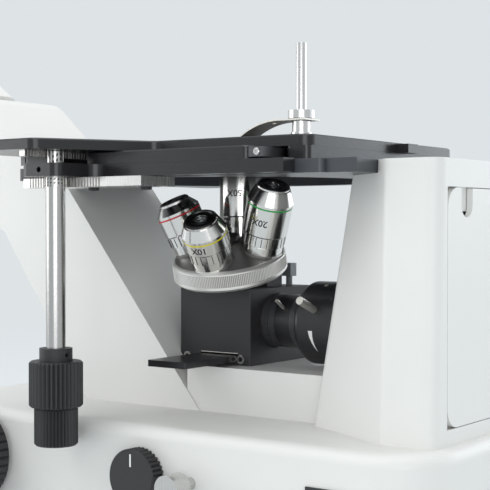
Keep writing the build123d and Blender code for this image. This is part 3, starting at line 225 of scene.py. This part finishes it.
def darken_turret(material):
    """Painted shade in the knurl grooves and a darker face, found by distance from the turret's axis."""
    tree = material.node_tree
    base = tree.nodes["Principled BSDF"].inputs["Base Color"]
    place = add(tree, "ShaderNodeTexCoord")
    offset = add(tree, "ShaderNodeVectorMath", operation="SUBTRACT")
    offset.inputs[1].default_value = turret_joint["pos_m"]
    tree.links.new(place.outputs["Object"], offset.inputs[0])
    across = add(tree, "ShaderNodeVectorMath", operation="CROSS_PRODUCT")
    across.inputs[1].default_value = turret_joint["axis"]
    tree.links.new(offset.outputs[0], across.inputs[0])
    length = add(tree, "ShaderNodeVectorMath", operation="LENGTH")
    tree.links.new(across.outputs[0], length.inputs[0])
    project = add(tree, "ShaderNodeVectorMath", operation="DOT_PRODUCT")
    project.inputs[1].default_value = turret_joint["axis"]
    tree.links.new(offset.outputs[0], project.inputs[0])
    reach = length.outputs["Value"]
    along = project.outputs["Value"]
    # painted shade: darker towards the floor of each knurl groove
    tone = mapped(tree, reach, KNURL_FLOOR * MM, KNURL_CREST * MM, GROOVE_SHADE_TONE, 1)
    outside_band = (
        math_node(tree, "GREATER_THAN", along, KNURL_HIGH * MM),
        math_node(tree, "LESS_THAN", along, KNURL_LOW * MM),
        math_node(tree, "LESS_THAN", reach, KNURL_ROOT * MM),
    )
    for test in outside_band:
        tone = math_node(tree, "MAXIMUM", tone, test)
    face = mapped(tree, reach, FACE_EDGE * MM, (FACE_EDGE + FACE_BLEND) * MM, FACE_TONE, 1)
    tone = math_node(tree, "MULTIPLY", tone, face)
    shade = add(tree, "ShaderNodeMix", data_type="RGBA", blend_type="MULTIPLY")
    shade.inputs["Factor"].default_value = 1.0
    tree.links.new(base.links[0].from_socket, shade.inputs["A"])
    tree.links.new(tone, shade.inputs["B"])
    tree.links.new(shade.outputs["Result"], base)


darken_turret(finish["turret_nickel"])
slot_finishes = {
    "white_paint": "white_paint",
    "black_anodise": "black_anodise",
    "dark_paint": "matte_black",
    "black_plastic": "knob_black",
    "rubber": "rubber",
    "steel": "steel",
    "chrome": "chrome",
    "glass": "glass",
    "ceramic": "ceramic",
}
node_finishes = {
    "turret": "turret_nickel",
    "focus_stop_post": "grey_paint",
    "clip_leaf": "satin_steel",
    "x_guide_strips": "dark_steel",
    "y_drive_tube": "rod_steel",
    "field_stop_lever": "satin_steel",
    "aperture_lever": "satin_steel",
    "illuminator_tube": "tube_grey",
    # the fixed plate takes the lighter grey copy of black, as painted light
    "stage_fixed_plate": "plate_painted_light_grey",
    "lamp_tube": "tube_black",
    "aperture_ring": "tube_black",
    "field_stop_ring": "tube_black",
}
for part in frame["record"]["subparts"]:
    chosen = node_finishes.get(part["node"], slot_finishes[part["material_slot"]])
    piece = nodes[part["node"]]
    piece.data.materials.clear()
    piece.data.materials.append(finish[chosen])


# Shapes of the added pieces


def place_piece(name, mesh, material, body):
    piece = bpy.data.objects.new(name, mesh)
    scene.collection.objects.link(piece)
    piece.data.materials.append(finish[material])
    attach(piece, body)
    return piece


def solid_piece(name, points, faces, material, body):
    mesh = bpy.data.meshes.new(name)
    mesh.from_pydata(points, [], faces)
    mesh.update()
    return place_piece(name, mesh, material, body)


SHARP_ANGLE = radians(35)
RING_STEPS = 72
SCREW_STEPS = 24


def turned_piece(name, outline, place, material, body, steps=RING_STEPS):
    """A closed ring or disc turned about the place's own Z, from radius and height in mm."""
    points = []
    count = len(outline)
    for step in range(steps):
        angle = 2 * pi * step / steps
        for radius, height in outline:
            local = Vector((radius * cos(angle), radius * sin(angle), height)) * MM
            points.append(place @ local)
    faces = []
    for step in range(steps):
        here = step * count
        there = (step + 1) % steps * count
        for index in range(count):
            after = (index + 1) % count
            faces.append((here + index, there + index, there + after, here + after))
    piece = solid_piece(name, points, faces, material, body)
    piece.data.polygons.foreach_set("use_smooth", [True] * len(piece.data.polygons))
    piece.data.set_sharp_from_angle(angle=SHARP_ANGLE)
    return piece


def bar_mesh(bars, name, material, body):
    """One piece made of several thin four-sided bars, each given by its eight corners."""
    points = []
    faces = []
    sides = [(0, 1, 2, 3), (7, 6, 5, 4), (0, 4, 5, 1), (1, 5, 6, 2), (2, 6, 7, 3), (3, 7, 4, 0)]
    for corners in bars:
        start = len(points)
        points += corners
        faces += [tuple(start + index for index in side) for side in sides]
    return solid_piece(name, points, faces, material, body)


def box_piece(name, low, high, material, body):
    """A plain bar between two corners, in m."""
    corners = []
    for x in (low[0], high[0]):
        for y, z in ((low[1], low[2]), (high[1], low[2]), (high[1], high[2]), (low[1], high[2])):
            corners.append(Vector((x, y, z)))
    return bar_mesh([corners], name, material, body)


def facing_frame(way, centre):
    """A frame whose Z runs along a way, at a place in m."""
    place = Vector(way).to_track_quat("Z", "Y").to_matrix().to_4x4()
    place.translation = centre
    return place


SCREW_SUNK = 0.3
SCREW_MIDDLE = 0.08
# Outline of a screw's head and of its socket, as shares of the head's radius and height
SCREW_HEAD = ((1, 0.75), (0.85, 1), (0.5, 1), (0.45, 0.35), (SCREW_MIDDLE, 0.3))


def screw(name, centre, way, radius, height, material, body):
    """A socket screw's head on a face: a turned cap with a sunk middle. Sizes in mm, centre in m."""
    outline = [(radius * SCREW_MIDDLE, -SCREW_SUNK), (radius, -SCREW_SUNK)]
    outline += [(radius * across, height * up) for across, up in SCREW_HEAD]
    return turned_piece(name, outline, facing_frame(way, centre), material, body, SCREW_STEPS)


# Objectives: rings, rims, grip lines and numbers, in mm and radians

apex = Vector(turret_joint["pos_m"])
turret_axis = Vector(turret_joint["axis"]).normalized()
turret_tilt = turret_axis.angle(UP)
down = (turret_axis * cos(turret_tilt) - UP).normalized()
turret_frame = Matrix((down, turret_axis.cross(down), turret_axis)).transposed().to_4x4()
turret_frame.translation = apex
SEAT_DISTANCE = 67.3
OBJECTIVE_RADIUS = 12.75
GRIP_RADIUS = 12.2
GRIP_START = 5.2
GRIP_TOP = 10.4
GRIP_LINES = 24
GRIP_LINE_HALF_TURN = 0.014
GRIP_LINE_SUNK = 0.3
GRIP_LINE_PROUD = 0.15
RING_WIDTH = 0.9
RING_DEPTH = 0.25
RING_PROUD = 0.02
RING_BELOW_CONE = 1.5
LENS_HOLE_RADIUS = 4.0
RIM_INSET = 0.7
# Steps of the black front rim from its outer edge and from the lens hole, and heights past the nose
RIM_OUTER = ((0, -0.2), (0, 0.5), (-0.5, 0.9), (-1.2, 0.9), (-1.7, 0.1))
RIM_INNER = ((1.0, 0.1), (0.8, 0.6), (0.2, 0.6), (0, -0.5))
RIM_FOOT = (-0.2, -0.9)
TEXT_SIZE = 5.3
TEXT_DEPTH = 0.02
TEXT_BOLD = 0.09
TEXT_RAISE = 0.03
TEXT_LIFT = 0.6
TEXT_MIDDLE = 0.36
TEXT_CURVE_STEPS = 3
# The side that the instrument is seen from, and that the numbers are turned to
CAMERA_TURN = radians(36.0)
facing = Vector((cos(CAMERA_TURN), sin(CAMERA_TURN), 0))
# Length, nose length, nose radius, turn on the nosepiece in degrees, ring colour, turn of the numbers
objectives = {
    "5": (29.2, 5.6, 8.9, -90, "red", 0.9),
    "10": (27.4, 7.0, 9.4, 0, "yellow", -0.45),
    "20": (38.3, 8.5, 9.4, 90, "green", -0.3),
    "50": (43.5, 3.5, 7.0, 180, "blue", -0.32),
}


def objective_frame(turn):
    lean = Matrix.Rotation(radians(turn), 4, "Z") @ Matrix.Rotation(turret_tilt, 4, "Y")
    return turret_frame @ lean @ Matrix.Translation((0, 0, SEAT_DISTANCE * MM))


def wrapped_text(name, words, height, angle, place):
    """Plain numbers laid round a barrel, their heads to its foot. Height in mm, angle in radians."""
    curve = bpy.data.curves.new(name, "FONT")
    curve.body = words
    curve.size = TEXT_SIZE
    curve.align_x = "CENTER"
    curve.extrude = TEXT_DEPTH
    curve.offset = TEXT_BOLD
    curve.resolution_u = TEXT_CURVE_STEPS
    carrier = bpy.data.objects.new(name, curve)
    scene.collection.objects.link(carrier)
    bpy.context.view_layer.update()
    shaped = carrier.evaluated_get(bpy.context.evaluated_depsgraph_get())
    mesh = bpy.data.meshes.new_from_object(shaped)
    bpy.data.objects.remove(carrier)
    mesh.name = name + "_letters"
    for vertex in mesh.vertices:
        turn = angle - vertex.co.x / OBJECTIVE_RADIUS
        reach = OBJECTIVE_RADIUS + TEXT_RAISE + vertex.co.z
        local = Vector((reach * cos(turn), reach * sin(turn), height - vertex.co.y)) * MM
        vertex.co = place @ local
    mesh.materials.clear()
    mesh.update()
    return place_piece(name, mesh, "ink_black", "turret")


def grip_line(place, angle):
    """Corners of one dark line along the grip of a barrel."""
    half = GRIP_LINE_HALF_TURN
    corners = []
    for reach in (GRIP_RADIUS - GRIP_LINE_SUNK, GRIP_RADIUS + GRIP_LINE_PROUD):
        for turn, height in ((-half, GRIP_START), (half, GRIP_START), (half, GRIP_TOP), (-half, GRIP_TOP)):
            local = Vector((reach * cos(angle + turn), reach * sin(angle + turn), height)) * MM
            corners.append(place @ local)
    return corners


for power, (length, nose, nose_radius, turn, colour, text_turn) in objectives.items():
    place = objective_frame(turn)
    ring_low = length - nose - RING_WIDTH - RING_BELOW_CONE
    ring_high = ring_low + RING_WIDTH
    inner = OBJECTIVE_RADIUS - RING_DEPTH
    outer = OBJECTIVE_RADIUS + RING_PROUD
    outline = [(inner, ring_low), (outer, ring_low), (outer, ring_high), (inner, ring_high)]
    turned_piece(f"ring_{power}", outline, place, f"ring_{colour}", "turret")
    lip = nose_radius - RIM_INSET
    rim = [(LENS_HOLE_RADIUS + RIM_FOOT[0], length + RIM_FOOT[1])]
    rim += [(lip + step, length + height) for step, height in RIM_OUTER]
    rim += [(LENS_HOLE_RADIUS + step, length + height) for step, height in RIM_INNER]
    turned_piece(f"nose_rim_{power}", rim, place, "lens_black", "turret")
    lines = [grip_line(place, 2 * pi * index / GRIP_LINES) for index in range(GRIP_LINES)]
    bar_mesh(lines, f"grip_lines_{power}", "lens_black", "turret")
    to_camera = place.to_3x3().inverted() @ facing
    text_angle = atan2(to_camera.y, to_camera.x) + text_turn
    text_height = (GRIP_TOP + ring_low) / 2 + TEXT_LIFT + TEXT_SIZE * TEXT_MIDDLE
    wrapped_text(f"power_{power}", f"{power}X", text_height, text_angle, place)


# Opening mark of the aperture ring, in mm

tube_centre = Vector(joints["aperture_turn"]["pos_m"])
# Z of this frame runs to the rear along the tube, X to the user's right and Y down
tube_frame = Matrix(((1, 0, 0, 0), (0, 0, 1, 0), (0, -1, 0, 0), (0, 0, 0, 1)))
tube_frame.translation = Vector((tube_centre.x, apex.y, tube_centre.z))
APERTURE_RADIUS = 23.0
WEDGE_START = radians(7)
WEDGE_END = radians(38)
WEDGE_WIDTH = 2.6
WEDGE_TIP = 0.05
WEDGE_Y = 62.2
WEDGE_LEAN = 2.2
WEDGE_STEPS = 10
WEDGE_CORNERS = 4
WEDGE_SUNK = 0.15
WEDGE_PROUD = 0.03


def make_wedge():
    """White opening mark on the aperture ring, wide at its top and pointed below."""
    points = []
    faces = []
    for step in range(WEDGE_STEPS + 1):
        share = step / WEDGE_STEPS
        angle = WEDGE_START + share * (WEDGE_END - WEDGE_START)
        middle = WEDGE_Y + WEDGE_LEAN * share * share
        half = WEDGE_WIDTH / 2 * (1 - share) + WEDGE_TIP
        for reach in (APERTURE_RADIUS - WEDGE_SUNK, APERTURE_RADIUS + WEDGE_PROUD):
            for along in (middle - half, middle + half):
                local = Vector((reach * cos(angle), reach * sin(angle), along)) * MM
                points.append(tube_frame @ local)
        if step:
            low = WEDGE_CORNERS * (step - 1)
            high = WEDGE_CORNERS * step
            for a, b in ((0, 1), (1, 3), (3, 2), (2, 0)):
                faces.append((low + a, low + b, high + b, high + a))
    last = WEDGE_CORNERS * WEDGE_STEPS
    faces += [(0, 2, 3, 1), (last, last + 1, last + 3, last + 2)]
    return solid_piece("aperture_mark", points, faces, "mark_white", "aperture_stop")


make_wedge()


# Parting lines of the stage, in m

SEAM_HALF = 0.15 * MM
SEAM_SUNK = 0.1 * MM
SEAM_PROUD = 0.03 * MM
SEAM_END = 3.5 * MM


def side_seam(name, node, height, start_y, body):
    """Dark parting line along the right-hand face of a plate, at a height."""
    low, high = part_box(node)
    corner_low = (high.x - SEAM_SUNK, max(low.y + SEAM_END, start_y), height - SEAM_HALF)
    corner_high = (high.x + SEAM_PROUD, high.y - SEAM_END, height + SEAM_HALF)
    box_piece(name, corner_low, corner_high, "lens_black", body)


carriage_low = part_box("stage_carriage")[0]
rails_low, rails_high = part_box("x_rails")
side_seam("carriage_seam", "stage_carriage", carriage_low.z, carriage_low.y, "stage_y")
side_seam("plate_side_seam", "x_rails", rails_high.z, apex.y, "stage_x")
box_piece(
    "plate_rear_seam",
    (rails_low.x + SEAM_END, rails_high.y - SEAM_SUNK, rails_high.z - SEAM_HALF),
    (rails_high.x - SEAM_END, rails_high.y + SEAM_PROUD, rails_high.z + SEAM_HALF),
    "lens_black",
    "stage_x",
)


# Tooth gaps of the two pinions, drawn as dark bars of painted shade: radii and depths in mm, the margin in m,
# and the slant in radians over the pinion's height

X_PINION_RADIUS = 4.2
Y_PINION_RADIUS = 5.7
PINION_TEETH = 16
PINION_SLANT = 0.8
PINION_GAP_SHARE = 0.3
PINION_SUNK = 0.2
PINION_PROUD = 0.04
PINION_MARGIN = 0.4 * MM


def pinion_gap_shade(name, node, radius, foot, head, body):
    """Painted shade in slanting tooth gaps on an upright shaft, between the heights of two faces in m."""
    low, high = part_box(node)
    middle = (low + high) / 2
    bottom = foot + PINION_MARGIN
    top = head - PINION_MARGIN
    half = PINION_GAP_SHARE * pi / PINION_TEETH
    upper_left = PINION_SLANT - half
    upper_right = PINION_SLANT + half
    bars = []
    for index in range(PINION_TEETH):
        angle = 2 * pi * index / PINION_TEETH
        corners = []
        for reach in (radius - PINION_SUNK, radius + PINION_PROUD):
            for turn, z in ((-half, bottom), (half, bottom), (upper_right, top), (upper_left, top)):
                place = Vector((cos(angle + turn), sin(angle + turn), 0)) * reach * MM
                corners.append(Vector((middle.x, middle.y, z)) + place)
        bars.append(corners)
    # the dark bars are painted shade in the tooth gaps
    bar_mesh(bars, name, "lens_black", body)


shaft_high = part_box("x_drive_shaft")[1]
rack_low, rack_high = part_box("y_rack")
pinion_gap_shade("x_pinion_gap_shade", "x_drive_shaft", X_PINION_RADIUS, carriage_low.z, shaft_high.z, "x_drive")
pinion_gap_shade("y_pinion_gap_shade", "y_drive_tube", Y_PINION_RADIUS, rack_low.z, rack_high.z, "y_drive")


# Screws and the bright edge of the slider's slot: heads in mm, their places and the edge in m

RACK_SCREW_SHARES = (0.42, 0.86)
RACK_SCREW_INSET = 9 * MM
RACK_SCREW_RADIUS = 3.0
RACK_SCREW_HEIGHT = 1.6
STRIP_SCREW_INSET = 3.2 * MM
STRIP_SCREW_RADIUS = 1.8
STRIP_SCREW_HEIGHT = 0.9
BOX_SCREW_RADIUS = 2.5 * MM
BOX_SOCKET_RADIUS = 1.3
BOX_SOCKET_HEIGHT = 0.06
TUBE_RADIUS = 23.6
TUBE_SCREW_RADIUS = 1.1
TUBE_SCREW_HEIGHT = 0.25
SLOT_HEADROOM = 0.8 * MM
SLOT_EDGE = 0.35 * MM
# Angle above the level in degrees, then place along the tube and radius it stands on, both in mm
TUBE_SCREWS = (
    ("ring_screw", 67, 64.0, APERTURE_RADIUS, "satin_steel", "aperture_stop"),
    ("tube_screw", 38, 73.5, TUBE_RADIUS, "dark_steel", "stand"),
)

rack_length = rack_high.y - rack_low.y
for index, share in enumerate(RACK_SCREW_SHARES):
    at = Vector((rack_low.x + RACK_SCREW_INSET, rack_low.y + share * rack_length, rack_low.z))
    name = f"rack_screw_{index}"
    screw(name, at, (0, 0, -1), RACK_SCREW_RADIUS, RACK_SCREW_HEIGHT, "matte_black", "stand")
strip_low, strip_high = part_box("x_guide_strips")
at = Vector((strip_high.x, strip_high.y - STRIP_SCREW_INSET, (strip_low.z + strip_high.z) / 2))
screw("strip_screw", at, (1, 0, 0), STRIP_SCREW_RADIUS, STRIP_SCREW_HEIGHT, "steel", "stage_y")
screws_low, screws_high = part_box("box_screws")
box_screw_z = (screws_low.z + screws_high.z) / 2
box_screw_ys = {"front": screws_low.y + BOX_SCREW_RADIUS, "rear": screws_high.y - BOX_SCREW_RADIUS}
for side, y in box_screw_ys.items():
    at = Vector((screws_high.x, y, box_screw_z))
    name = f"box_socket_{side}"
    screw(name, at, (1, 0, 0), BOX_SOCKET_RADIUS, BOX_SOCKET_HEIGHT, "lens_black", "stand")
housing_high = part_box("filter_box")[1]
slider_low, slider_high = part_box("analyser_slider")
slot_top = slider_high.z + SLOT_HEADROOM
box_piece(
    "slot_edge",
    (housing_high.x - SLOT_EDGE, slider_low.y, slot_top),
    (housing_high.x + SEAM_PROUD, slider_high.y, slot_top + SLOT_EDGE),
    "satin_steel",
    "stand",
)
for name, angle, along, reach, material, body in TUBE_SCREWS:
    way = Vector((cos(radians(angle)), 0, sin(radians(angle))))
    at = Vector((tube_centre.x, apex.y + along * MM, tube_centre.z)) + way * reach * MM
    screw(name, at, way, TUBE_SCREW_RADIUS, TUBE_SCREW_HEIGHT, material, body)


# Eye lenses and the dial's line, in mm

EYE_LENS_DEPTH = 5.0
EYE_LENS_OUTLINE = [(0.3, 0.4), (8.9, -0.6), (8.9, 0.3), (4.5, 1.3), (0.3, 1.7)]
DIAL_LINE_HALF = 0.5
DIAL_LINE_START = 6.0
DIAL_LINE_END = 12.5
DIAL_LINE_SUNK = 0.2
DIAL_LINE_PROUD = 0.05

cup_way = Vector(joints["left_tube_swing"]["axis"])
for side in ("left", "right"):
    low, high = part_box(f"{side}_eyecup")
    place = facing_frame(cup_way, (low + high) / 2 - cup_way * EYE_LENS_DEPTH * MM)
    turned_piece(f"{side}_eye_lens", EYE_LENS_OUTLINE, place, "glass", f"{side}_tube")
dial_low, dial_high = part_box("intensity_dial")
dial_middle = (dial_low + dial_high) / 2
face_middle = Vector((dial_high.x, dial_middle.y, dial_middle.z))
box_piece(
    "dial_line",
    face_middle + Vector((-DIAL_LINE_SUNK, -DIAL_LINE_HALF, DIAL_LINE_START)) * MM,
    face_middle + Vector((DIAL_LINE_PROUD, DIAL_LINE_HALF, DIAL_LINE_END)) * MM,
    "mark_white",
    "dial",
)


# Camera: places in m, the sensor in mm

FOCAL_PIXELS = 1250.0
IMAGE_PIXELS = 490.0
SENSOR_WIDTH = 36.0
CAMERA_DISTANCE = 0.727
CAMERA_HEIGHT = 0.1654
CAMERA_PITCH = radians(0.917)
CAMERA_SIDE_STEP = 0.0020
CAMERA_NEAR = 0.01
camera_data = bpy.data.cameras.new("camera")
camera_data.sensor_width = SENSOR_WIDTH
camera_data.lens = FOCAL_PIXELS / IMAGE_PIXELS * SENSOR_WIDTH
camera_data.clip_start = CAMERA_NEAR
camera = bpy.data.objects.new("camera", camera_data)
scene.collection.objects.link(camera)
rightward = Vector((-sin(CAMERA_TURN), cos(CAMERA_TURN), 0))
axis_point = Vector((apex.x, apex.y, CAMERA_HEIGHT))
camera.location = axis_point + facing * CAMERA_DISTANCE + rightward * CAMERA_SIDE_STEP
look = -facing * cos(CAMERA_PITCH) - UP * sin(CAMERA_PITCH)
camera.rotation_euler = look.to_track_quat("-Z", "Y").to_euler()
scene.camera = camera


# Light: place and size in m, power in W, colour

LIGHT_TARGET = Vector((0, apex.y, 0.15))
WHITE = (1, 1, 1)
LIGHTS = {
    "key": ((1.3, -1.0, 1.6), (1.2, 1.2), 8, WHITE),
    "top": ((0.0, apex.y, 1.9), (1.6, 1.6), 11, WHITE),
    "rear": ((-1.5, 1.5, 0.35), (1.4, 0.8), 2.0, (0.88, 0.94, 1.0)),
    "fill": ((1.4, 1.15, 0.22), (1.2, 0.4), 4.5, WHITE),
    "side_fill": ((0.9, -1.6, 0.3), (1.4, 0.5), 5, WHITE),
    "left_fill": ((-1.3, 0.35, 0.5), (1.2, 0.6), 5, (0.90, 0.95, 1.0)),
}
for name, (place, (width, height), power, colour) in LIGHTS.items():
    data = bpy.data.lights.new(name, "AREA")
    data.shape = "RECTANGLE"
    data.size = width
    data.size_y = height
    data.energy = power
    data.color = colour
    lamp = bpy.data.objects.new(name, data)
    lamp.location = place
    lamp.rotation_euler = (LIGHT_TARGET - Vector(place)).to_track_quat("-Z", "Y").to_euler()
    scene.collection.objects.link(lamp)


# Backdrop and floor

BACKDROP_COLOUR = linear(222, 227, 230)
BACKDROP_STRENGTH = 1.0


def seen_share(tree):
    """One for rays that show the floor, straight, mirrored or through glass."""
    rays = add(tree, "ShaderNodeLightPath").outputs
    seen = math_node(tree, "MAXIMUM", rays["Is Camera Ray"], rays["Is Glossy Ray"])
    return math_node(tree, "MAXIMUM", seen, rays["Is Transmission Ray"])


world = bpy.data.worlds.new("studio")
scene.world = world
world.use_nodes = True
backdrop = world.node_tree.nodes["Background"]
backdrop.inputs["Color"].default_value = BACKDROP_COLOUR
backdrop.inputs["Strength"].default_value = BACKDROP_STRENGTH

FLOOR_HALF = 6.0
FLOOR_ROUGH = 0.7
FLOOR_GRAIN = 40
FLOOR_RELIEF = 0.02
FLOOR_CHANGE = 0.01
# The floor fades into the backdrop between these distances from the middle
FLOOR_FADE_START = 0.3
FLOOR_FADE_END = 1.3
FLOOR_NEAR_SHARE = 0.55
floor_mesh = bpy.data.meshes.new("floor")
corners = [(-1, -1), (1, -1), (1, 1), (-1, 1)]
floor_points = [(x * FLOOR_HALF, y * FLOOR_HALF, 0) for x, y in corners]
floor_mesh.from_pydata(floor_points, [], [(0, 1, 2, 3)])
floor = bpy.data.objects.new("floor", floor_mesh)
scene.collection.objects.link(floor)
floor_material = finish_surface(
    "floor", BACKDROP_COLOUR, 0.0, FLOOR_ROUGH, FLOOR_GRAIN, FLOOR_RELIEF, FLOOR_CHANGE
)
floor_tree = floor_material.node_tree
floor_glow = add(floor_tree, "ShaderNodeEmission", Color=BACKDROP_COLOUR, Strength=BACKDROP_STRENGTH)
floor_place = add(floor_tree, "ShaderNodeTexCoord")
floor_reach = add(floor_tree, "ShaderNodeVectorMath", operation="LENGTH")
floor_tree.links.new(floor_place.outputs["Object"], floor_reach.inputs[0])
fade = mapped(
    floor_tree, floor_reach.outputs["Value"], FLOOR_FADE_START, FLOOR_FADE_END, FLOOR_NEAR_SHARE, 1
)
floor_share = math_node(floor_tree, "MULTIPLY", seen_share(floor_tree), fade)
floor_mix = add(floor_tree, "ShaderNodeMixShader")
floor_tree.links.new(floor_share, floor_mix.inputs["Fac"])
floor_tree.links.new(floor_tree.nodes["Principled BSDF"].outputs[0], floor_mix.inputs[1])
floor_tree.links.new(floor_glow.outputs[0], floor_mix.inputs[2])
floor_tree.links.new(floor_mix.outputs[0], floor_tree.nodes["Material Output"].inputs["Surface"])
floor_mesh.materials.append(floor_material)

scene.view_settings.view_transform = "Standard"
